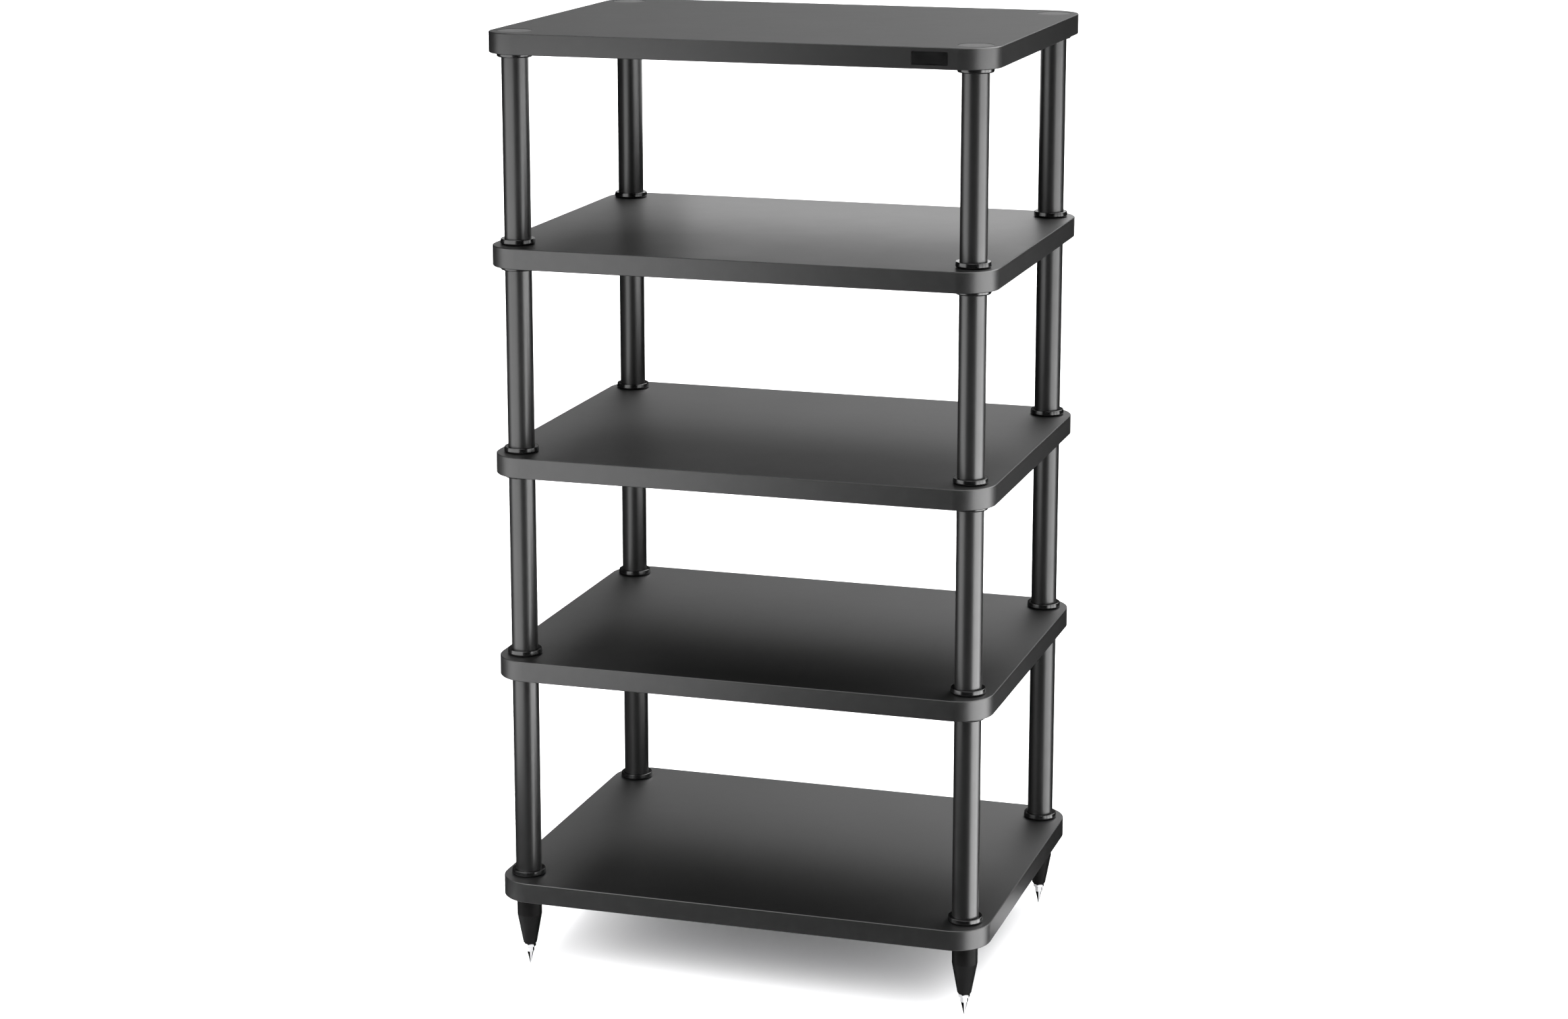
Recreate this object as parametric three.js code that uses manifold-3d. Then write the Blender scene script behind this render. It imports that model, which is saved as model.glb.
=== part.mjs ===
// A free-standing rack for audio equipment: five boards, one above another, on sixteen steel
// pillars, standing on four levelling spikes. It is in millimetres, +Z is up and the front faces -Y.
// The origin is on the floor, under the middle of the boards.
import * as THREE from "three";
import { mergeVertices, toCreasedNormals } from "three/addons/utils/BufferGeometryUtils.js";
import Module from "manifold-3d";

// Boards
const BOARD_WIDTH = 650;
const BOARD_DEPTH = 500;
const BOARD_THICKNESS = 26;
const BOARD_CORNER_RADIUS = 45;
const BOARD_EDGE_RADIUS = 1.5;

// Clear heights: under the base board, in the low bay and in each bay above it
const FLOOR_CLEARANCE = 99;
const LOW_BAY_HEIGHT = 272;
const BAY_HEIGHT = 240;

// Pillars, from the board's side and front edges to the pillar's axis
const PILLAR_SIDE_INSET = 32;
const PILLAR_FRONT_INSET = 42;
const TUBE_RADIUS = 16.85;
const TUBE_WALL = 2;
const FLANGE_SHOULDER = 5.5;
const FLANGE_HEIGHT = 6;
const FLANGE_EDGE_RADIUS = 2.4;
const HEAD_PLUG_DEPTH = 14;

// The stud on each pillar and foot, and what it screws into
const STUD_RADIUS = 6;
const STUD_REACH = 15;

// Base collar: a ring on the board with a boss up inside the tube
const COLLAR_HEIGHT = 5.4;
const COLLAR_EDGE_RADIUS = 2;
const COLLAR_BOSS_HEIGHT = 14;

// Cap let into the top board over the last stud
const CAP_THICKNESS = 3.2;
const CAP_CHAMFER = 0.4;
const CAP_BOSS_WALL = 3.4;
const CAP_BOSS_HEIGHT = 15;
const CAP_SINK = 0.2;

// Foot cone
const FOOT_TOP_RADIUS = 16.2;
const FOOT_END_RADIUS = 8.9;
const FOOT_TAPER_HEIGHT = 39.8;
const FOOT_CHAMFER_HEIGHT = 1.8;
const FOOT_CHAMFER = 1.4;

// Lock nut and levelling spike
const SHANK_RADIUS = 4;
const SHANK_IN_FOOT = 30;
const NUT_FLATS = 13;
const NUT_HEIGHT = 4.5;
const WRENCH_FLATS = 9;
const WRENCH_HEIGHT = 6.2;
const POINT_HEIGHT = 16.8;
const TIP_RADIUS = 0.6;

// Plate let into the front edge of the top board
const PLATE_WIDTH = 44;
const PLATE_HEIGHT = 15.6;
const PLATE_THICKNESS = 1.4;
const PLATE_CORNER_RADIUS = 1.2;
const PLATE_RIGHT_INSET = 56;
const PLATE_SINK = 0.4;

// Clearances
const SEAT_GAP = 0.3;
const SIDE_GAP = 0.4;
const END_GAP = 2;
const CUT_OVERRUN = 5;

// Counts and angles
const ROUND_STEPS = 16;
const STUD_STEPS = 10;
const SHANK_STEPS = 18;
const HEX_SIDES = 6;
const CORNER_STEPS = 6;
const EDGE_STEPS = 2;
const RIM_STEPS = 2;
const NUT_BEVEL = THREE.MathUtils.degToRad(30);
const NUT_FACE_SHARE = 0.95;
const CREASE = THREE.MathUtils.degToRad(32);
const WELD_TOLERANCE = 1e-5;

// Sizes that follow from those
const FLANGE_RADIUS = TUBE_RADIUS + FLANGE_SHOULDER;
const TUBE_BORE_RADIUS = TUBE_RADIUS - TUBE_WALL;
const STUD_BORE_RADIUS = STUD_RADIUS + SIDE_GAP;
const SHANK_BORE_RADIUS = SHANK_RADIUS + SIDE_GAP;
const CAP_BOSS_RADIUS = STUD_BORE_RADIUS + CAP_BOSS_WALL;
const PILLAR_X = BOARD_WIDTH / 2 - PILLAR_SIDE_INSET;
const PILLAR_Y = BOARD_DEPTH / 2 - PILLAR_FRONT_INSET;
const NUT_SEAT = POINT_HEIGHT + WRENCH_HEIGHT + SEAT_GAP;
const FOOT_SEAT = NUT_SEAT + NUT_HEIGHT + SEAT_GAP;
const PLATE_X = BOARD_WIDTH / 2 - PLATE_RIGHT_INSET - PLATE_WIDTH / 2;

const CORNERS = [
  { corner: "front_left", side: -1, face: -1 },
  { corner: "front_right", side: 1, face: -1 },
  { corner: "rear_left", side: -1, face: 1 },
  { corner: "rear_right", side: 1, face: 1 },
];

// Each level is a board and the clear height above it. The top board has none.
const LEVELS = [
  { board: "base_shelf", bay: "bay1", clear: LOW_BAY_HEIGHT },
  { board: "lower_shelf", bay: "bay2", clear: BAY_HEIGHT },
  { board: "middle_shelf", bay: "bay3", clear: BAY_HEIGHT },
  { board: "upper_shelf", bay: "bay4", clear: BAY_HEIGHT },
  { board: "top_shelf", bay: null, clear: 0 },
];

const FINISHES = {
  board: { color: 0x2b2b2c, roughness: 0.5, metalness: 0 },
  pillar: { color: 0x262627, roughness: 0.42, metalness: 0.35 },
  collar: { color: 0x0e0e0f, roughness: 0.16, metalness: 0.1 },
  cap: { color: 0x333334, roughness: 0.45, metalness: 0.2 },
  foot: { color: 0x111112, roughness: 0.38, metalness: 0.3 },
  chrome: { color: 0xd8dadc, roughness: 0.12, metalness: 1 },
  plate: { color: 0x141415, roughness: 0.2, metalness: 0.1 },
};

const wasm = await Module();
wasm.setup();

// A closed geometry as a solid that can be joined and cut.
function solidOf(geometry) {
  geometry.deleteAttribute("normal");
  geometry.deleteAttribute("uv");
  const merged = mergeVertices(geometry, WELD_TOLERANCE);
  const vertProperties = new Float32Array(merged.getAttribute("position").array);
  const triVerts = new Uint32Array(merged.index.array);
  return new wasm.Manifold(new wasm.Mesh({ numProp: 3, vertProperties, triVerts }));
}

// A solid back as a geometry, smooth round its curves and sharp at its edges.
function geometryOf(solid) {
  const mesh = solid.getMesh();
  const geometry = new THREE.BufferGeometry();
  geometry.setAttribute("position", new THREE.BufferAttribute(mesh.vertProperties, 3));
  geometry.setIndex(new THREE.BufferAttribute(mesh.triVerts, 1));
  return toCreasedNormals(geometry, CREASE);
}

// A body turned about Z, from an outline of [radius, height] points that runs upwards on its
// outside. The outline starts and ends on the axis, or closes on itself.
function turned(outline) {
  const points = outline.map(([radius, height]) => new THREE.Vector2(radius, height));
  return solidOf(new THREE.LatheGeometry(points, ROUND_STEPS).rotateX(Math.PI / 2));
}

// An upright bar of some number of sides, from one height up to another.
function bar(radius, from, to, sides) {
  const geometry = new THREE.CylinderGeometry(radius, radius, to - from, sides);
  return solidOf(geometry.rotateX(Math.PI / 2).translate(0, 0, (from + to) / 2));
}

// The points of an outline round a disc's lower edge, from its flat underside out to its side.
function roundedEdge(discRadius, underside, edgeRadius) {
  return Array.from({ length: RIM_STEPS + 1 }, (_, i) => {
    const angle = ((Math.PI / 2) * i) / RIM_STEPS;
    return [
      discRadius - edgeRadius * (1 - Math.sin(angle)),
      underside + edgeRadius * (1 - Math.cos(angle)),
    ];
  });
}

function roundedRectangle(width, height, radius) {
  const x = width / 2 - radius;
  const y = height / 2 - radius;
  const shape = new THREE.Shape();
  shape.absarc(x, -y, radius, -Math.PI / 2, 0);
  shape.absarc(x, y, radius, 0, Math.PI / 2);
  shape.absarc(-x, y, radius, Math.PI / 2, Math.PI);
  shape.absarc(-x, -y, radius, Math.PI, (3 * Math.PI) / 2);
  shape.closePath();
  return shape;
}

// A board with rounded corners and edges, its underside at height zero and a stud hole at each
// corner.
function boardSolid() {
  const outline = roundedRectangle(BOARD_WIDTH, BOARD_DEPTH, BOARD_CORNER_RADIUS);
  const slab = new THREE.ExtrudeGeometry(outline, {
    depth: BOARD_THICKNESS - 2 * BOARD_EDGE_RADIUS,
    bevelThickness: BOARD_EDGE_RADIUS,
    bevelSize: BOARD_EDGE_RADIUS,
    bevelOffset: -BOARD_EDGE_RADIUS,
    bevelSegments: EDGE_STEPS,
    curveSegments: CORNER_STEPS / 2,
  });
  const hole = bar(STUD_BORE_RADIUS, -CUT_OVERRUN, BOARD_THICKNESS + CUT_OVERRUN, STUD_STEPS);
  return cutAtCorners(solidOf(slab.translate(0, 0, BOARD_EDGE_RADIUS)), hole);
}

function cutAtCorners(board, cutter) {
  return CORNERS.reduce(
    (left, { side, face }) => left.subtract(cutter.translate([side * PILLAR_X, face * PILLAR_Y, 0])),
    board,
  );
}

// The top board has a seat for each cap, and a pocket for the plate in its front edge.
function topBoardSolid() {
  const seat = bar(
    FLANGE_RADIUS + SIDE_GAP,
    BOARD_THICKNESS - CAP_THICKNESS - CAP_SINK - SEAT_GAP,
    BOARD_THICKNESS + CUT_OVERRUN,
    ROUND_STEPS,
  );
  const bossHole = bar(
    CAP_BOSS_RADIUS + SIDE_GAP,
    BOARD_THICKNESS - CAP_THICKNESS - CAP_SINK - CAP_BOSS_HEIGHT - END_GAP,
    BOARD_THICKNESS + CUT_OVERRUN,
    ROUND_STEPS,
  );
  const pocketDepth = PLATE_SINK + PLATE_THICKNESS + SEAT_GAP;
  const pocketShape = roundedRectangle(
    PLATE_WIDTH + 2 * SEAT_GAP,
    PLATE_HEIGHT + 2 * SEAT_GAP,
    PLATE_CORNER_RADIUS + SEAT_GAP,
  );
  const pocket = new THREE.ExtrudeGeometry(pocketShape, {
    depth: pocketDepth + CUT_OVERRUN,
    bevelEnabled: false,
    curveSegments: 1,
  });
  pocket.rotateX(Math.PI / 2);
  pocket.translate(PLATE_X, pocketDepth - BOARD_DEPTH / 2, BOARD_THICKNESS / 2);
  const seated = cutAtCorners(cutAtCorners(boardSolid(), seat), bossHole);
  return seated.subtract(solidOf(pocket));
}

function plateSolid() {
  const shape = roundedRectangle(PLATE_WIDTH, PLATE_HEIGHT, PLATE_CORNER_RADIUS);
  const plate = new THREE.ExtrudeGeometry(shape, {
    depth: PLATE_THICKNESS,
    bevelEnabled: false,
    curveSegments: 1,
  });
  return solidOf(plate.rotateX(Math.PI / 2));
}

// A pillar: a tube whose head has a flange with a rounded lower edge, and a stud that goes up
// through the board above. Height zero is the top of the board that it stands on.
function pillarSolid(clear, studTop) {
  const foot = SEAT_GAP + COLLAR_HEIGHT + SEAT_GAP;
  const head = clear - SEAT_GAP;
  const flange = head - FLANGE_HEIGHT;
  const tube = turned([
    [0, flange - HEAD_PLUG_DEPTH],
    [TUBE_BORE_RADIUS, flange - HEAD_PLUG_DEPTH],
    [TUBE_BORE_RADIUS, foot],
    [TUBE_RADIUS, foot],
    [TUBE_RADIUS, flange],
    ...roundedEdge(FLANGE_RADIUS, flange, FLANGE_EDGE_RADIUS),
    [FLANGE_RADIUS, head],
    [0, head],
  ]);
  return tube.add(bar(STUD_RADIUS, flange, clear + studTop, STUD_STEPS));
}

// A base collar: a ring with a rounded lower edge, and a boss for the tube to slip over, bored for
// the stud that comes up through the board. Height zero is its underside.
function collarSolid() {
  const boss = TUBE_BORE_RADIUS - SIDE_GAP;
  const top = COLLAR_HEIGHT + COLLAR_BOSS_HEIGHT;
  const collar = turned([
    [0, 0],
    ...roundedEdge(FLANGE_RADIUS, 0, COLLAR_EDGE_RADIUS),
    [FLANGE_RADIUS, COLLAR_HEIGHT],
    [boss, COLLAR_HEIGHT],
    [boss, top],
    [0, top],
  ]);
  return collar.subtract(bar(STUD_BORE_RADIUS, -CUT_OVERRUN, top + CUT_OVERRUN, STUD_STEPS));
}

// A cap: a disc with a blind-bored boss under it. Height zero is the disc's top.
function capSolid() {
  const underside = -CAP_THICKNESS;
  const end = underside - CAP_BOSS_HEIGHT;
  const cap = turned([
    [0, end],
    [CAP_BOSS_RADIUS, end],
    [CAP_BOSS_RADIUS, underside],
    [FLANGE_RADIUS, underside],
    [FLANGE_RADIUS, -CAP_CHAMFER],
    [FLANGE_RADIUS - CAP_CHAMFER, 0],
    [0, 0],
  ]);
  return cap.subtract(bar(STUD_BORE_RADIUS, end - CUT_OVERRUN, underside, STUD_STEPS));
}

// A foot: straight under the board, then tapered to its end, with a threaded hole for the spike
// and a stud up through the base board. Height zero is the floor.
function footSolid() {
  const top = FLOOR_CLEARANCE - SEAT_GAP;
  const shoulder = FOOT_SEAT + FOOT_CHAMFER_HEIGHT + FOOT_TAPER_HEIGHT;
  const holeEnd = FOOT_SEAT + SHANK_IN_FOOT + END_GAP;
  const studTop = FLOOR_CLEARANCE + BOARD_THICKNESS + STUD_REACH;
  const cone = turned([
    [0, FOOT_SEAT],
    [FOOT_END_RADIUS - FOOT_CHAMFER, FOOT_SEAT],
    [FOOT_END_RADIUS, FOOT_SEAT + FOOT_CHAMFER_HEIGHT],
    [FOOT_TOP_RADIUS, shoulder],
    [FOOT_TOP_RADIUS, top],
    [0, top],
  ]);
  const hole = bar(SHANK_BORE_RADIUS, FOOT_SEAT - CUT_OVERRUN, holeEnd, STUD_STEPS);
  return cone.add(bar(STUD_RADIUS, shoulder, studTop, STUD_STEPS)).subtract(hole);
}

// A hexagonal bar between two heights, its corners turned off at a nut's bevel at the ends that
// are asked for. The bevel starts from a circle a little inside the flats.
function hexagonSolid(flats, from, to, bevelBottom, bevelTop) {
  const cornerRadius = flats / Math.sqrt(3);
  const faceRadius = (flats / 2) * NUT_FACE_SHARE;
  const drop = (cornerRadius - faceRadius) * Math.tan(NUT_BEVEL);
  const bevels = turned([
    [0, from],
    ...(bevelBottom ? [[faceRadius, from]] : []),
    [cornerRadius, bevelBottom ? from + drop : from],
    [cornerRadius, bevelTop ? to - drop : to],
    ...(bevelTop ? [[faceRadius, to]] : []),
    [0, to],
  ]);
  return bar(cornerRadius, from, to, HEX_SIDES).intersect(bevels);
}

// The lock nut, its underside at height zero.
function nutSolid() {
  const hole = bar(SHANK_BORE_RADIUS, -CUT_OVERRUN, NUT_HEIGHT + CUT_OVERRUN, STUD_STEPS);
  return hexagonSolid(NUT_FLATS, 0, NUT_HEIGHT, true, true).subtract(hole);
}

// The levelling spike: a shank, a hexagon for the wrench and a point that stands on the floor.
function spikeSolid() {
  const shoulder = POINT_HEIGHT + WRENCH_HEIGHT;
  const shank = bar(SHANK_RADIUS, POINT_HEIGHT, FOOT_SEAT + SHANK_IN_FOOT, SHANK_STEPS);
  const point = turned([
    [0, 0],
    [TIP_RADIUS, 0],
    [WRENCH_FLATS / 2, POINT_HEIGHT],
    [0, POINT_HEIGHT],
  ]);
  const wrench = hexagonSolid(WRENCH_FLATS, POINT_HEIGHT, shoulder, true, false);
  return wrench.add(shank).add(point);
}

function meshOf(name, solid, finish) {
  const material = new THREE.MeshStandardMaterial(FINISHES[finish]);
  const mesh = new THREE.Mesh(geometryOf(solid), material);
  mesh.name = name;
  return mesh;
}

// A group that stands on one corner's pillar axis.
function cornerGroup({ side, face }) {
  const group = new THREE.Group();
  group.position.set(side * PILLAR_X, face * PILLAR_Y, 0);
  return group;
}

function feetGroup() {
  const feet = new THREE.Group();
  const foot = footSolid();
  const nut = nutSolid();
  const spike = spikeSolid();
  for (const place of CORNERS) {
    const group = cornerGroup(place);
    const nutMesh = meshOf(`lock_nut_${place.corner}`, nut, "chrome");
    nutMesh.position.z = NUT_SEAT;
    group.add(meshOf(`foot_${place.corner}`, foot, "foot"));
    group.add(nutMesh);
    group.add(meshOf(`spike_${place.corner}`, spike, "chrome"));
    feet.add(group);
  }
  return feet;
}

// The pillars and collars of one bay, with height zero at the top of the board below.
function bayGroup({ bay, clear }, studTop, collar) {
  const group = new THREE.Group();
  const pillar = pillarSolid(clear, studTop);
  for (const place of CORNERS) {
    const corner = cornerGroup(place);
    const collarMesh = meshOf(`${bay}_collar_${place.corner}`, collar, "collar");
    collarMesh.position.z = SEAT_GAP;
    corner.add(collarMesh);
    corner.add(meshOf(`${bay}_pillar_${place.corner}`, pillar, "pillar"));
    group.add(corner);
  }
  return group;
}

// The caps and the plate, with height zero at the underside of the top board.
function topFittings() {
  const group = new THREE.Group();
  const cap = capSolid();
  for (const place of CORNERS) {
    const corner = cornerGroup(place);
    const capMesh = meshOf(`cap_${place.corner}`, cap, "cap");
    capMesh.position.z = BOARD_THICKNESS - CAP_SINK;
    corner.add(capMesh);
    group.add(corner);
  }
  const plate = meshOf("front_plate", plateSolid(), "plate");
  plate.position.set(PLATE_X, PLATE_SINK + PLATE_THICKNESS - BOARD_DEPTH / 2, BOARD_THICKNESS / 2);
  group.add(plate);
  return group;
}

function rackGroup() {
  const rack = new THREE.Group();
  const board = boardSolid();
  const collar = collarSolid();
  const capBoreEnd = BOARD_THICKNESS - CAP_SINK - CAP_THICKNESS - END_GAP;
  let underside = FLOOR_CLEARANCE;
  rack.add(feetGroup());
  for (const [index, level] of LEVELS.entries()) {
    const isTop = level.bay === null;
    const boardMesh = meshOf(level.board, isTop ? topBoardSolid() : board, "board");
    boardMesh.position.z = underside;
    rack.add(boardMesh);
    if (isTop) {
      const fittings = topFittings();
      fittings.position.z = underside;
      rack.add(fittings);
      continue;
    }
    const nextIsTop = LEVELS[index + 1].bay === null;
    const studTop = nextIsTop ? capBoreEnd : BOARD_THICKNESS + STUD_REACH;
    const bay = bayGroup(level, studTop, collar);
    bay.position.z = underside + BOARD_THICKNESS;
    rack.add(bay);
    underside += BOARD_THICKNESS + level.clear;
  }
  return rack;
}

export default rackGroup();
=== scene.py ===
import math
import bmesh
import bpy
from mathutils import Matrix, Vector


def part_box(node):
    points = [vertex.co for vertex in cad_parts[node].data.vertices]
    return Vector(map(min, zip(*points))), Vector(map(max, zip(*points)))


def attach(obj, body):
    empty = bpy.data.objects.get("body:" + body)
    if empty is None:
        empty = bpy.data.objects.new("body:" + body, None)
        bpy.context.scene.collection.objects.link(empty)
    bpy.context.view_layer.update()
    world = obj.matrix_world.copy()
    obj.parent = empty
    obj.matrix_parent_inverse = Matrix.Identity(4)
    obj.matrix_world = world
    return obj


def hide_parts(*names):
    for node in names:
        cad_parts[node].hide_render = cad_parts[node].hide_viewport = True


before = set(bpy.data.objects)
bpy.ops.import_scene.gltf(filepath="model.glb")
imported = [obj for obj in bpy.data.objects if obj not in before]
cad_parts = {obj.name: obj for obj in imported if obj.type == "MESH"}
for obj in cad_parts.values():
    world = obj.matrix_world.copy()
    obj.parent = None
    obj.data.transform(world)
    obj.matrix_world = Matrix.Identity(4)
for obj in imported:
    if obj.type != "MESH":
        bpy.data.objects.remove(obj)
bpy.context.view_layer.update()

MM = 0.001

CORNERS = ("front_left", "front_right", "rear_left", "rear_right")
BAYS = ("bay1", "bay2", "bay3", "bay4")
LOWER_BOARDS = ("base_shelf", "lower_shelf", "middle_shelf", "upper_shelf")
BOARD_ABOVE = {
    "bay1": "lower_shelf",
    "bay2": "middle_shelf",
    "bay3": "upper_shelf",
    "bay4": "top_shelf",
}

# Boards and plate
BOARD_CORNER_RADIUS = 45 * MM
BOARD_CORNER_STEPS = 20
BOARD_CHAMFER = 0.8 * MM
BOARD_CHAMFER_STEPS = 1
PLATE_CORNER_RADIUS = 1.2 * MM
PLATE_CORNER_STEPS = 5
PLATE_EDGE_RADIUS = 0.25 * MM
PLATE_EDGE_STEPS = 2

# Pillars, collars and caps
TUBE_RADIUS = 16.85 * MM
TUBE_BORE_RADIUS = 14.85 * MM
FLANGE_RADIUS = 22.35 * MM
FLANGE_HEIGHT = 6 * MM
FLANGE_EDGE_RADIUS = 2.4 * MM
COLLAR_HEIGHT = 5.4 * MM
COLLAR_EDGE_RADIUS = 2.2 * MM
COLLAR_RIM_RADIUS = 0.6 * MM
COLLAR_LIP = 1.6 * MM
COLLAR_LEAN = 1 * MM
CAP_RADIUS = 21.5 * MM
CAP_THICKNESS = 3.2 * MM
STUD_RADIUS = 6 * MM
BORE_RADIUS = 6.4 * MM

# Feet
FOOT_TOP_RADIUS = 16.2 * MM
FOOT_END_RADIUS = 8.9 * MM
FOOT_TAPER_HEIGHT = 39.8 * MM
FOOT_CHAMFER_HEIGHT = 1.8 * MM
FOOT_CHAMFER = 1.4 * MM
FOOT_END_ROUNDING = 0.8 * MM
FOOT_SHOULDER_ROUNDING = 2 * MM
SHANK_RADIUS = 4 * MM
SHANK_BORE_RADIUS = 4.4 * MM
SHANK_END = 0.5 * MM
THREAD_PITCH = 1.25 * MM
THREAD_DEPTH = 0.68 * MM
THREAD_START = 0.4 * MM
ROWS_PER_PITCH = 8
NUT_FLATS = 13 * MM
NUT_LEAD_IN = 0.3 * MM
NUT_BEVEL = math.radians(30)
NUT_FACE_SHARE = 0.95
WRENCH_FLATS = 9 * MM
WRENCH_HEIGHT = 6.2 * MM
POINT_HEIGHT = 16.8 * MM
TIP_RADIUS = 0.6 * MM
TIP_FLAT_RADIUS = 0.48 * MM
TIP_HEIGHT = 0.2 * MM

# Roundings that several pieces share
INNER_ROUNDING = 0.3 * MM
RIM_ROUNDING = 0.4 * MM
OUTER_ROUNDING = 0.5 * MM
STUD_ROUNDING = 0.8 * MM

# Clearances
SEAT_GAP = 0.3 * MM
SIDE_GAP = 0.4 * MM
LIP_GAP = 0.15 * MM
POCKET_EDGE_RADIUS = SEAT_GAP / 4

ROUND_STEPS = 96
FILLET_STEPS = 4
SHARP_ANGLE = math.radians(38)
NO_RADIUS = 1e-9


# Shapes

def rounded_outline(corners):
    """Points of an outline whose corners are (radius, height, fillet)."""
    points = []
    for i, (radius, height, fillet) in enumerate(corners):
        here = Vector((radius, height))
        if not fillet:
            points.append(here)
            continue
        back = (Vector(corners[i - 1][:2]) - here).normalized()
        ahead = (Vector(corners[i + 1][:2]) - here).normalized()
        half = back.angle(ahead) / 2
        centre = here + (back + ahead).normalized() * fillet / math.sin(half)
        start = here + back * fillet / math.tan(half) - centre
        end = here + ahead * fillet / math.tan(half) - centre
        first = math.atan2(start.y, start.x)
        turn = math.remainder(math.atan2(end.y, end.x) - first, math.tau)
        for k in range(FILLET_STEPS + 1):
            angle = first + turn * k / FILLET_STEPS
            points.append(centre + fillet * Vector((math.cos(angle), math.sin(angle))))
    return points


def mesh_of_rows(name, rows, axis):
    """A closed mesh round a vertical axis. Each row gives (radius, height) at an angle, and a row
    of radius zero is one point."""
    bm = bmesh.new()
    rings = []
    for row in rows:
        places = [row(math.tau * k / ROUND_STEPS) for k in range(ROUND_STEPS)]
        if places[0][0] < NO_RADIUS:
            rings.append([bm.verts.new((axis.x, axis.y, places[0][1]))])
            continue
        ring = []
        for k, (radius, height) in enumerate(places):
            angle = math.tau * k / ROUND_STEPS
            x = axis.x + radius * math.cos(angle)
            y = axis.y + radius * math.sin(angle)
            ring.append(bm.verts.new((x, y, height)))
        rings.append(ring)
    for low, high in zip(rings, rings[1:]):
        join_rings(bm, low, high)
    if len(rings[0]) > 1:
        join_rings(bm, rings[-1], rings[0])
    return finished_mesh(name, bm)


def join_rings(bm, low, high):
    steps = max(len(low), len(high))
    for k in range(steps):
        n = (k + 1) % steps
        if len(low) == 1:
            bm.faces.new((low[0], high[n], high[k]))
        elif len(high) == 1:
            bm.faces.new((low[k], low[n], high[0]))
        else:
            bm.faces.new((low[k], low[n], high[n], high[k]))


def finished_mesh(name, bm):
    bmesh.ops.recalc_face_normals(bm, faces=bm.faces)
    mesh = bpy.data.meshes.new(name)
    bm.to_mesh(mesh)
    bm.free()
    mesh.polygons.foreach_set("use_smooth", [True] * len(mesh.polygons))
    mesh.set_sharp_from_angle(angle=SHARP_ANGLE)
    return mesh


def circle(radius, height):
    return lambda angle: (radius, height)


def turned(name, corners, axis):
    rows = [circle(point.x, point.y) for point in rounded_outline(corners)]
    return mesh_of_rows(name, rows, axis)


def hexagon_radius(angle, flats):
    """The distance from a hexagon's middle to its edge, with a flat square to angle zero."""
    off_flat = math.remainder(angle, math.pi / 3)
    return flats / 2 / math.cos(off_flat)


def bevelled(flats, height, direction):
    """A row along a hexagon's edge, where a nut's bevel leaves it. direction is 1 for a bevel on
    the lower end and -1 for one on the upper end."""
    face = flats / 2 * NUT_FACE_SHARE

    def row(angle):
        radius = hexagon_radius(angle, flats)
        return radius, height + direction * (radius - face) * math.tan(NUT_BEVEL)

    return row


def rounded_rectangle(width, depth, radius, steps):
    """Points round a rectangle with rounded corners, centred on zero."""
    points = []
    for quarter, (sx, sy) in enumerate(((1, 1), (-1, 1), (-1, -1), (1, -1))):
        for k in range(steps + 1):
            angle = (quarter + k / steps) * math.pi / 2
            x = sx * (width / 2 - radius) + radius * math.cos(angle)
            y = sy * (depth / 2 - radius) + radius * math.sin(angle)
            points.append((x, y))
    return points


def slab(name, low, high, corner_radius, corner_steps, edge_radius, edge_steps, place):
    """A slab between two heights, with rounded corners and edges. place turns its own
    (across, along, height) into a point. Its edge attribute is 1 at the sides and 0 where the flat
    faces begin."""
    size = high - low
    middle = (low + high) / 2
    levels = []
    for k in range(edge_steps + 1):
        angle = math.pi / 2 * k / edge_steps
        inset = edge_radius * (1 - math.sin(angle))
        levels.append((inset, low.z + edge_radius * (1 - math.cos(angle))))
    levels += [(inset, low.z + high.z - height) for inset, height in reversed(levels)]
    bm = bmesh.new()
    rings = []
    for inset, height in levels:
        width, depth = size.x - 2 * inset, size.y - 2 * inset
        outline = rounded_rectangle(width, depth, corner_radius - inset, corner_steps)
        rings.append([
            bm.verts.new(place(middle.x + x, middle.y + y, height)) for x, y in outline
        ])
    for under, over in zip(rings, rings[1:]):
        join_rings(bm, under, over)
    bm.faces.new(list(reversed(rings[0])))
    bm.faces.new(rings[-1])
    mesh = finished_mesh(name, bm)
    worn = []
    for i, ring in enumerate(rings):
        flat = i in (0, len(rings) - 1)
        worn += [0.0 if flat else 1.0] * len(ring)
    mark = mesh.attributes.new("edge", "FLOAT", "POINT")
    mark.data.foreach_set("value", worn)
    return mesh


def upright(x, y, z):
    return (x, y, z)


def on_edge(x, y, z):
    return (x, -z, y)


def cut(mesh, cutters):
    """The mesh with the cutters' meshes taken out of it."""
    holder = bpy.data.objects.new(mesh.name + "_cut", mesh)
    bpy.context.scene.collection.objects.link(holder)
    tools = []
    for cutter in cutters:
        tool = bpy.data.objects.new(cutter.name, cutter)
        bpy.context.scene.collection.objects.link(tool)
        modifier = holder.modifiers.new("cut", "BOOLEAN")
        modifier.operation = "DIFFERENCE"
        modifier.solver = "EXACT"
        modifier.object = tool
        tools.append(tool)
    bpy.context.view_layer.update()
    graph = bpy.context.evaluated_depsgraph_get()
    result = bpy.data.meshes.new_from_object(holder.evaluated_get(graph))
    for item in (holder, *tools):
        bpy.data.objects.remove(item)
    result.name = mesh.name
    result.set_sharp_from_angle(angle=SHARP_ANGLE)
    return result


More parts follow.
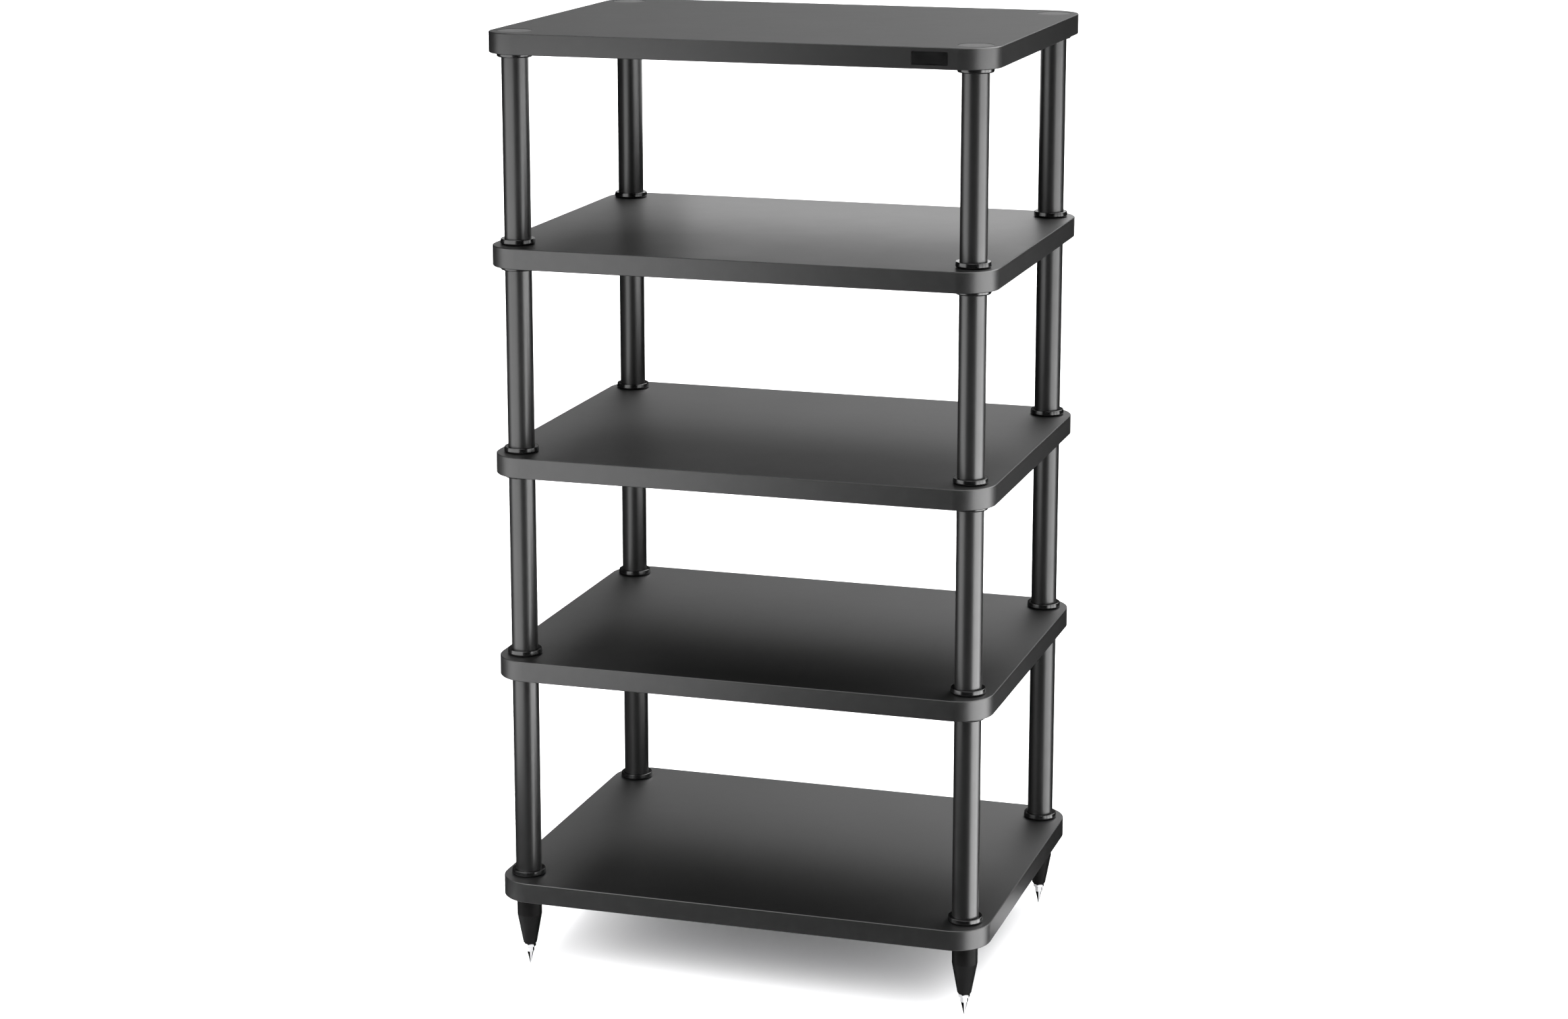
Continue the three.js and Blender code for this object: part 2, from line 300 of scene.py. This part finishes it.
def add_piece(name, mesh, node, body, material):
    piece = bpy.data.objects.new(name, mesh)
    bpy.context.scene.collection.objects.link(piece)
    piece.data.materials.clear()
    piece.data.materials.append(material)
    weighted = piece.modifiers.new("weighted normals", "WEIGHTED_NORMAL")
    weighted.keep_sharp = True
    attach(piece, body)
    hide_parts(node)
    return piece


# Materials

class Finish:
    """A material whose shader's own sockets hold its plain values, with short calls for its
    patterns. Noise scales are in cells to the metre, and bump depths in metres."""

    def __init__(self, name, color, roughness, metallic=0.0, specular=0.5):
        self.material = bpy.data.materials.new(name)
        self.material.use_nodes = True
        self.nodes = self.material.node_tree.nodes
        self.links = self.material.node_tree.links
        self.shader = self.nodes["Principled BSDF"]
        self.set("Base Color", (*color, 1))
        self.set("Roughness", roughness)
        self.set("Metallic", metallic)
        self.set("Specular IOR Level", specular)
        self.place = self.nodes.new("ShaderNodeTexCoord").outputs["Object"]

    def set(self, socket, value):
        self.shader.inputs[socket].default_value = value

    def join(self, output, socket):
        self.links.new(output, self.shader.inputs[socket])

    def stretched(self, x, y, z):
        mapping = self.nodes.new("ShaderNodeMapping")
        mapping.inputs["Scale"].default_value = (x, y, z)
        self.links.new(self.place, mapping.inputs["Vector"])
        return mapping.outputs["Vector"]

    def noise(self, scale, detail=2.0, roughness=0.5, vector=None):
        texture = self.nodes.new("ShaderNodeTexNoise")
        texture.inputs["Scale"].default_value = scale
        texture.inputs["Detail"].default_value = detail
        texture.inputs["Roughness"].default_value = roughness
        self.links.new(vector or self.place, texture.inputs["Vector"])
        return texture.outputs["Fac"]

    def ranged(self, value, low, high, from_low=0.3, from_high=0.7):
        node = self.nodes.new("ShaderNodeMapRange")
        node.inputs["From Min"].default_value = from_low
        node.inputs["From Max"].default_value = from_high
        node.inputs["To Min"].default_value = low
        node.inputs["To Max"].default_value = high
        self.links.new(value, node.inputs["Value"])
        return node.outputs["Result"]

    def mixed(self, factor, first, second):
        node = self.nodes.new("ShaderNodeMix")
        node.data_type = "RGBA"
        self.links.new(factor, node.inputs["Factor"])
        for socket, value in ((node.inputs[6], first), (node.inputs[7], second)):
            if isinstance(value, tuple):
                socket.default_value = (*value, 1)
            else:
                self.links.new(value, socket)
        return node.outputs[2]

    def product(self, first, second):
        node = self.nodes.new("ShaderNodeMath")
        node.operation = "MULTIPLY"
        self.links.new(first, node.inputs[0])
        self.links.new(second, node.inputs[1])
        return node.outputs[0]

    def attribute(self, name):
        node = self.nodes.new("ShaderNodeAttribute")
        node.attribute_name = name
        return node.outputs["Fac"]

    def bump(self, height, distance, over=None):
        node = self.nodes.new("ShaderNodeBump")
        node.inputs["Strength"].default_value = 1.0
        node.inputs["Distance"].default_value = distance
        self.links.new(height, node.inputs["Height"])
        if over:
            self.links.new(over, node.inputs["Normal"])
        return node.outputs["Normal"]

    def clouded(self, scale, low, high, detail=3.0):
        """A colour that drifts between two greys."""
        return self.mixed(self.ranged(self.noise(scale, detail), 0.0, 1.0), grey(low), grey(high))

    def speckled(self, colour, scale, level):
        """The colour with fine, faint specks of a lighter grey."""
        specks = self.ranged(self.noise(scale, 2.0), 0.0, 0.2, 0.0, 1.0)
        return self.mixed(specks, colour, grey(level))

    def uneven(self, scale, low, high, detail=4.0, roughness=0.6):
        """A value that drifts between two others, for the shader's roughness."""
        return self.ranged(self.noise(scale, detail, roughness), low, high)

    def orange_peel(self, scale, fine_scale):
        """The normal of a sprayed coat, with a fine texture over a coarser one."""
        peel = self.bump(self.noise(scale, 2.0), 0.03 * MM)
        return self.bump(self.noise(fine_scale, 1.0), 0.01 * MM, over=peel)

    def turning_marks(self, scale, along, depth):
        """The normal of a turned surface, with faint rings round a vertical axis."""
        vector = self.stretched(0.1, 0.1, along)
        return self.bump(self.noise(scale, 2.0, vector=vector), depth)


def grey(level):
    return (level, level, level * 1.01)


def board_lacquer():
    finish = Finish("board_lacquer", grey(0.004), 0.42)
    speckled = finish.speckled(finish.clouded(5.0, 0.0035, 0.0045), 900.0, 0.01)
    rubbed = finish.ranged(finish.noise(60.0, 4.0, 0.7), 0.0, 0.3, 0.45, 0.75)
    worn = finish.product(finish.attribute("edge"), rubbed)
    finish.join(finish.mixed(worn, speckled, grey(0.012)), "Base Color")
    finish.join(finish.uneven(14.0, 0.405, 0.425, 5.0, 0.65), "Roughness")
    finish.join(finish.orange_peel(520.0, 2200.0), "Normal")
    return finish.material


def pillar_coat():
    finish = Finish("pillar_coat", grey(0.004), 0.35)
    speckled = finish.speckled(finish.clouded(16.0, 0.0035, 0.0045), 1500.0, 0.01)
    finish.join(speckled, "Base Color")
    finish.join(finish.uneven(30.0, 0.33, 0.37), "Roughness")
    finish.join(finish.orange_peel(700.0, 2600.0), "Normal")
    return finish.material


def collar_gloss():
    finish = Finish("collar_gloss", grey(0.003), 0.2)
    finish.join(finish.clouded(60.0, 0.0025, 0.0035), "Base Color")
    finish.join(finish.uneven(120.0, 0.17, 0.24), "Roughness")
    finish.join(finish.bump(finish.noise(450.0, 1.0), 0.01 * MM), "Normal")
    return finish.material


def cap_satin():
    finish = Finish("cap_satin", grey(0.03), 0.4)
    finish.join(finish.clouded(40.0, 0.037, 0.044), "Base Color")
    finish.join(finish.uneven(90.0, 0.36, 0.45), "Roughness")
    finish.join(finish.bump(finish.noise(900.0, 2.0), 0.03 * MM), "Normal")
    return finish.material


def foot_satin():
    finish = Finish("foot_satin", grey(0.003), 0.42, specular=0.05)
    finish.join(finish.clouded(70.0, 0.0025, 0.0035), "Base Color")
    finish.join(finish.uneven(110.0, 0.38, 0.48), "Roughness")
    finish.join(finish.turning_marks(300.0, 12.0, 0.01 * MM), "Normal")
    return finish.material


def chrome_plate():
    finish = Finish("chrome_plate", grey(0.42), 0.08, metallic=1.0)
    finish.join(finish.clouded(400.0, 0.39, 0.45), "Base Color")
    finish.join(finish.uneven(900.0, 0.05, 0.12, detail=3.0), "Roughness")
    finish.join(finish.turning_marks(500.0, 14.0, 0.006 * MM), "Normal")
    return finish.material


def plate_gloss():
    finish = Finish("plate_gloss", grey(0.004), 0.12)
    finish.join(finish.clouded(90.0, 0.003, 0.005), "Base Color")
    finish.join(finish.uneven(220.0, 0.1, 0.18), "Roughness")
    finish.join(finish.bump(finish.noise(300.0, 1.0), 0.008 * MM), "Normal")
    return finish.material


BOARD = board_lacquer()
PILLAR = pillar_coat()
COLLAR = collar_gloss()
CAP = cap_satin()
FOOT = foot_satin()
CHROME = chrome_plate()
PLATE = plate_gloss()


# Pieces

def axis_of(node):
    low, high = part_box(node)
    return Vector(((low.x + high.x) / 2, (low.y + high.y) / 2))


def board_mesh(node):
    low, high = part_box(node)
    return slab(
        node, low, high, BOARD_CORNER_RADIUS, BOARD_CORNER_STEPS, BOARD_CHAMFER,
        BOARD_CHAMFER_STEPS, upright
    )


def plate_mesh(name, low, high, corner_radius, edge_radius):
    """A slab that stands on edge, its face towards -Y."""
    flat_low = Vector((low.x, low.z, -high.y))
    flat_high = Vector((high.x, high.z, -low.y))
    return slab(
        name, flat_low, flat_high, corner_radius, PLATE_CORNER_STEPS, edge_radius,
        PLATE_EDGE_STEPS, on_edge
    )


def make_top_board():
    """The top board, with the seats of the caps and the pocket of the plate cut into it."""
    node = "top_shelf"
    low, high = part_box(node)
    over = high.z + CAP_THICKNESS
    seat = CAP_RADIUS + SIDE_GAP
    cutters = []
    for corner in CORNERS:
        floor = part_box("cap_" + corner)[1].z - CAP_THICKNESS - SEAT_GAP
        rows = [circle(0, floor), circle(seat, floor), circle(seat, over), circle(0, over)]
        cutters.append(mesh_of_rows("seat_" + corner, rows, axis_of("cap_" + corner)))
    plate_low, plate_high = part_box("front_plate")
    grown = Vector((SEAT_GAP, SEAT_GAP, SEAT_GAP))
    pocket_low = plate_low - grown
    pocket_high = plate_high + grown
    pocket_low.y = low.y - CAP_THICKNESS
    pocket_corner = PLATE_CORNER_RADIUS + SEAT_GAP
    cutters.append(
        plate_mesh("pocket", pocket_low, pocket_high, pocket_corner, POCKET_EDGE_RADIUS)
    )
    mesh = cut(board_mesh(node), cutters)
    add_piece("top_board", mesh, node, "rack", BOARD)


def make_boards():
    for node in LOWER_BOARDS:
        name = node.replace("_shelf", "_board")
        add_piece(name, board_mesh(node), node, "rack", BOARD)
    make_top_board()


def make_pillar(bay, corner):
    node = f"{bay}_pillar_{corner}"
    low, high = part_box(node)
    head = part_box(BOARD_ABOVE[bay])[0].z - SEAT_GAP
    flange = head - FLANGE_HEIGHT
    mesh = turned(node, [
        (0, flange, 0),
        (TUBE_BORE_RADIUS, flange, 0),
        (TUBE_BORE_RADIUS, low.z, INNER_ROUNDING),
        (TUBE_RADIUS, low.z, OUTER_ROUNDING),
        (TUBE_RADIUS, flange, OUTER_ROUNDING),
        (FLANGE_RADIUS, flange, FLANGE_EDGE_RADIUS),
        (FLANGE_RADIUS, head, OUTER_ROUNDING),
        (STUD_RADIUS, head, 0),
        (STUD_RADIUS, high.z, STUD_ROUNDING),
        (0, high.z, 0),
    ], axis_of(node))
    piece = add_piece(f"{bay}_tube_{corner}", mesh, node, "rack", PILLAR)
    # The flange and the stud have the collars' gloss.
    piece.data.materials.append(COLLAR)
    for face in piece.data.polygons:
        if face.center.z > flange - SEAT_GAP / 2:
            face.material_index = 1


def make_collar(bay, corner):
    """A collar with the boss of its node, and a lip that stands up round the tube's foot."""
    node = f"{bay}_collar_{corner}"
    low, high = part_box(node)
    boss = TUBE_BORE_RADIUS - SIDE_GAP
    seat = low.z + COLLAR_HEIGHT
    lip = TUBE_RADIUS + LIP_GAP
    mesh = turned(node, [
        (BORE_RADIUS, low.z, 0),
        (FLANGE_RADIUS, low.z, COLLAR_EDGE_RADIUS),
        (FLANGE_RADIUS - COLLAR_LEAN, seat + COLLAR_LIP, COLLAR_RIM_RADIUS),
        (lip, seat + COLLAR_LIP, 0),
        (lip, seat, 0),
        (boss, seat, 0),
        (boss, high.z, STUD_ROUNDING),
        (BORE_RADIUS, high.z, 0),
    ], axis_of(node))
    add_piece(f"{bay}_ring_{corner}", mesh, node, "rack", COLLAR)


def make_cap(corner):
    node = "cap_" + corner
    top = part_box(node)[1].z
    mesh = turned(node, [
        (0, top - CAP_THICKNESS, 0),
        (CAP_RADIUS, top - CAP_THICKNESS, INNER_ROUNDING),
        (CAP_RADIUS, top, RIM_ROUNDING),
        (0, top, 0),
    ], axis_of(node))
    add_piece("cap_disc_" + corner, mesh, node, "rack", CAP)


def make_foot(corner):
    node = "foot_" + corner
    low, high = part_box(node)
    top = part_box("base_shelf")[0].z - SEAT_GAP
    shoulder = low.z + FOOT_CHAMFER_HEIGHT + FOOT_TAPER_HEIGHT
    mesh = turned(node, [
        (0, shoulder, 0),
        (SHANK_BORE_RADIUS, shoulder, 0),
        (SHANK_BORE_RADIUS, low.z, INNER_ROUNDING),
        (FOOT_END_RADIUS - FOOT_CHAMFER, low.z, INNER_ROUNDING),
        (FOOT_END_RADIUS, low.z + FOOT_CHAMFER_HEIGHT, FOOT_END_ROUNDING),
        (FOOT_TOP_RADIUS, shoulder, FOOT_SHOULDER_ROUNDING),
        (FOOT_TOP_RADIUS, top, RIM_ROUNDING),
        (STUD_RADIUS, top, 0),
        (STUD_RADIUS, high.z, STUD_ROUNDING),
        (0, high.z, 0),
    ], axis_of(node))
    add_piece("foot_cone_" + corner, mesh, node, "rack", FOOT)


def make_nut(corner):
    node = "lock_nut_" + corner
    low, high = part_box(node)
    face = NUT_FLATS / 2 * NUT_FACE_SHARE
    rows = [
        circle(SHANK_BORE_RADIUS, low.z + NUT_LEAD_IN),
        circle(SHANK_BORE_RADIUS + NUT_LEAD_IN, low.z),
        circle(face, low.z),
        bevelled(NUT_FLATS, low.z, 1),
        bevelled(NUT_FLATS, high.z, -1),
        circle(face, high.z),
        circle(SHANK_BORE_RADIUS + NUT_LEAD_IN, high.z),
        circle(SHANK_BORE_RADIUS, high.z - NUT_LEAD_IN),
    ]
    mesh = mesh_of_rows(node, rows, axis_of(node))
    add_piece("nut_" + corner, mesh, node, "nut_" + corner, CHROME)


def thread_rows(start, end):
    """Rows up a threaded shank. At each angle the thread's crest climbs with the angle, so the
    rows make one helix."""
    count = round((end - start) / THREAD_PITCH * ROWS_PER_PITCH)

    def row_at(height):
        def row(angle):
            phase = (height / THREAD_PITCH - angle / math.tau) % 1.0
            depth = abs(2 * phase - 1)
            run_out = min(1.0, (height - start) / THREAD_PITCH, (end - height) / THREAD_PITCH)
            return SHANK_RADIUS - THREAD_DEPTH * max(depth, 1 - run_out), height
        return row

    return [row_at(start + (end - start) * k / count) for k in range(count + 1)]


def make_spike(corner):
    node = "spike_" + corner
    low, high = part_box(node)
    wrench = low.z + POINT_HEIGHT
    shoulder = wrench + WRENCH_HEIGHT
    face = WRENCH_FLATS / 2 * NUT_FACE_SHARE
    root = SHANK_RADIUS - THREAD_DEPTH
    rows = [
        circle(0, low.z),
        circle(TIP_FLAT_RADIUS, low.z),
        circle(TIP_RADIUS, low.z + TIP_HEIGHT),
        circle(face, wrench),
        bevelled(WRENCH_FLATS, wrench, 1),
        lambda angle: (hexagon_radius(angle, WRENCH_FLATS), shoulder),
        circle(root, shoulder),
        *thread_rows(shoulder + THREAD_START, high.z - SHANK_END),
        circle(root - SHANK_END, high.z),
        circle(0, high.z),
    ]
    mesh = mesh_of_rows(node, rows, axis_of(node))
    add_piece("point_" + corner, mesh, node, "spike_" + corner, CHROME)


def make_plate():
    low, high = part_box("front_plate")
    mesh = plate_mesh("front_plate", low, high, PLATE_CORNER_RADIUS, PLATE_EDGE_RADIUS)
    add_piece("bare_plate", mesh, "front_plate", "rack", PLATE)


make_boards()
for bay_name in BAYS:
    for corner_name in CORNERS:
        make_pillar(bay_name, corner_name)
        make_collar(bay_name, corner_name)
for corner_name in CORNERS:
    make_cap(corner_name)
    make_foot(corner_name)
    make_nut(corner_name)
    make_spike(corner_name)
make_plate()


# Floor, light and camera

# The floor is level and all of one paint. The strip before each row of feet is also mirrored in
# the rack, apart from a square at the left of each foot. The rest isn't, as with black cards.
FLOOR_HALF = 30.0
MIRRORED_X = (-0.5, 0.45)
MIRRORED_DEPTH = 0.13
MIRRORED_BEHIND = 0.005
UNMIRRORED_SIDE = 0.04

CAMERA_PLACE = (1.2447, -4.0342, 1.6287)
CAMERA_TURN = math.radians(17.27)
CAMERA_DIP = math.radians(12.59)
LENS_MM = 76.37
SENSOR_MM = 36
SHIFT_DOWN = 0.048

# The overhead light is two round patches of sky, one high up behind the rack and one before it.
# Each has its middle's direction, the cosines of the angles from it where the patch is full and
# where it ends, and its strength.
PATCHES = (
    ((0.22, 0.5, 0.84), 0.88, 0.8, 8.1),
    ((0.0, -0.6, 0.8), 0.93, 0.85, 4.2),
)

# Each softbox has a name, two points of the floor plan, its lowest and highest point and its
# brightness. On the way from the first point to the second, the rack lies on the left. Then may
# come how far it faces upwards and the angle that its light spreads over, both in degrees, and
# whether the rack mirrors it. The right light's three panels share all but their points.
RIGHT_PANEL = (-0.45, 1.2, 1.2, 15, 60)
SOFTBOXES = (
    ("left_softbox", (-0.72, -0.31), (-0.22, -0.97), 0.14, 1.22, 3.75),
    ("right_softbox_a", (1.172, -1.0), (1.43, -0.53), *RIGHT_PANEL),
    ("right_softbox_b", (1.43, -0.53), (1.497, -0.002), *RIGHT_PANEL),
    ("right_softbox_c", (1.497, -0.002), (1.358, 0.514), *RIGHT_PANEL),
    ("rear_softbox", (0.2, 0.9), (-0.9, 0.9), 1.0, 1.2, 0.92),
    ("shelf_softbox", (0.3, 0.45), (-0.3, 0.45), 1.02, 1.18, 1.07),
    ("left_fill", (-0.95, 0.1), (-0.3, -1.1), 0.0, 0.7, 3.8, 0, 180, False),
    ("right_fill", (0.95, -1.12), (1.95, 0.45), 0.0, 1.0, 4.8, 0, 180, False),
)


def floor_paint():
    finish = Finish("floor_paint", grey(0.9), 0.6, specular=0.2)
    finish.join(finish.clouded(1.5, 0.89, 0.91, detail=2.0), "Base Color")
    return finish.material


def backdrop_paint():
    finish = Finish("backdrop_paint", grey(0.9), 0.9)
    finish.set("Emission Color", (1, 1, 1, 1))
    finish.set("Emission Strength", 1.0)
    return finish.material


def add_floor(name, points, faces, material, mirrored):
    mesh = bpy.data.meshes.new(name)
    mesh.from_pydata(points, [], faces)
    mesh.materials.append(material)
    floor = bpy.data.objects.new(name, mesh)
    bpy.context.scene.collection.objects.link(floor)
    floor.visible_glossy = mirrored


def is_mirrored(x, y, feet):
    """Whether a point lies in the strip before a row of feet, and not in a foot's own square."""
    if not MIRRORED_X[0] < x < MIRRORED_X[1]:
        return False
    before = [foot for foot in feet if -MIRRORED_DEPTH < y - foot.y < MIRRORED_BEHIND]
    beside = [foot for foot in before if foot.x - UNMIRRORED_SIDE < x < foot.x]
    square = MIRRORED_BEHIND - UNMIRRORED_SIDE
    return bool(before) and not any(y - foot.y > square for foot in beside)


def floor_cells(feet):
    """The floor's points, and its rectangles in two lists: those that the rack mirrors and the
    rest."""
    lines_x = {-FLOOR_HALF, *MIRRORED_X, FLOOR_HALF}
    lines_y = {-FLOOR_HALF, FLOOR_HALF}
    for foot in feet:
        back = foot.y + MIRRORED_BEHIND
        lines_x |= {foot.x - UNMIRRORED_SIDE, foot.x}
        lines_y |= {foot.y - MIRRORED_DEPTH, back - UNMIRRORED_SIDE, back}
    lines_x, lines_y = sorted(lines_x), sorted(lines_y)
    points = [(x, y, 0) for y in lines_y for x in lines_x]
    across = len(lines_x)
    mirrored, plain = [], []
    for row in range(len(lines_y) - 1):
        for column in range(across - 1):
            x = (lines_x[column] + lines_x[column + 1]) / 2
            y = (lines_y[row] + lines_y[row + 1]) / 2
            first = row * across + column
            cell = (first, first + 1, first + across + 1, first + across)
            (mirrored if is_mirrored(x, y, feet) else plain).append(cell)
    return points, mirrored, plain


def make_floor():
    feet = [axis_of("spike_" + corner) for corner in CORNERS]
    points, mirrored, plain = floor_cells(feet)
    paint = floor_paint()
    add_floor("near_floor", points, mirrored, paint, True)
    add_floor("far_floor", points, plain, paint, False)


def make_backdrop():
    """A white wall round the floor's edge, which only the camera sees."""
    plan = [(-1, -1), (1, -1), (1, 1), (-1, 1)]
    points = [(x * FLOOR_HALF, y * FLOOR_HALF, z) for z in (0, FLOOR_HALF) for x, y in plan]
    walls = [(k, (k + 1) % 4, (k + 1) % 4 + 4, k + 4) for k in range(4)]
    mesh = bpy.data.meshes.new("backdrop")
    mesh.from_pydata(points, [], walls)
    mesh.materials.append(backdrop_paint())
    backdrop = bpy.data.objects.new("backdrop", mesh)
    bpy.context.scene.collection.objects.link(backdrop)
    backdrop.visible_diffuse = False
    backdrop.visible_glossy = False
    backdrop.visible_shadow = False


def add_softbox(name, left, right, low, high, brightness, rise=0, spread=180, mirrored=True):
    """A softbox over a line between two points of the floor plan, which faces the rack."""
    across = Vector(right) - Vector(left)
    width, height = across.length, high - low
    facing = Vector((-across.y, across.x, 0)).normalized()
    facing.z = math.tan(math.radians(rise))
    data = bpy.data.lights.new(name, "AREA")
    data.shape = "RECTANGLE"
    data.size = width
    data.size_y = height
    data.spread = math.radians(spread)
    data.energy = brightness * math.pi * width * height
    light = bpy.data.objects.new(name, data)
    middle = (Vector(left) + Vector(right)) / 2
    light.location = (middle.x, middle.y, (low + high) / 2)
    light.rotation_mode = "QUATERNION"
    light.rotation_quaternion = facing.to_track_quat("-Z", "Y")
    light.visible_camera = False
    light.visible_glossy = mirrored
    bpy.context.scene.collection.objects.link(light)


def sky_patch(nodes, links, direction, middle, inner, outer, strength):
    """The strength of a round patch of sky, with a soft edge."""
    nearness = nodes.new("ShaderNodeVectorMath")
    nearness.operation = "DOT_PRODUCT"
    nearness.inputs[1].default_value = Vector(middle).normalized()
    links.new(direction, nearness.inputs[0])
    patch = nodes.new("ShaderNodeMapRange")
    patch.interpolation_type = "SMOOTHSTEP"
    patch.inputs["From Min"].default_value = outer
    patch.inputs["From Max"].default_value = inner
    patch.inputs["To Min"].default_value = 0
    patch.inputs["To Max"].default_value = strength
    links.new(nearness.outputs["Value"], patch.inputs["Value"])
    return patch.outputs["Result"]


def make_sky():
    """A dark sky with bright round patches, which light the whole floor evenly."""
    world = bpy.data.worlds.new("studio")
    world.use_nodes = True
    nodes = world.node_tree.nodes
    links = world.node_tree.links
    direction = nodes.new("ShaderNodeTexCoord").outputs["Generated"]
    total = nodes.new("ShaderNodeMath")
    total.operation = "ADD"
    for socket, patch in zip(total.inputs, PATCHES):
        links.new(sky_patch(nodes, links, direction, *patch), socket)
    links.new(total.outputs[0], nodes["Background"].inputs["Strength"])
    nodes["Background"].inputs["Color"].default_value = (1, 1, 1, 1)
    bpy.context.scene.world = world


def make_lights():
    make_sky()
    for softbox in SOFTBOXES:
        add_softbox(*softbox)


def make_camera():
    data = bpy.data.cameras.new("camera")
    data.lens = LENS_MM
    data.sensor_width = SENSOR_MM
    data.shift_y = -SHIFT_DOWN
    camera = bpy.data.objects.new("camera", data)
    camera.location = CAMERA_PLACE
    camera.rotation_euler = (math.pi / 2 - CAMERA_DIP, 0, CAMERA_TURN)
    bpy.context.scene.collection.objects.link(camera)
    bpy.context.scene.camera = camera


make_floor()
make_backdrop()
make_lights()
make_camera()
bpy.context.scene.view_settings.view_transform = "Standard"
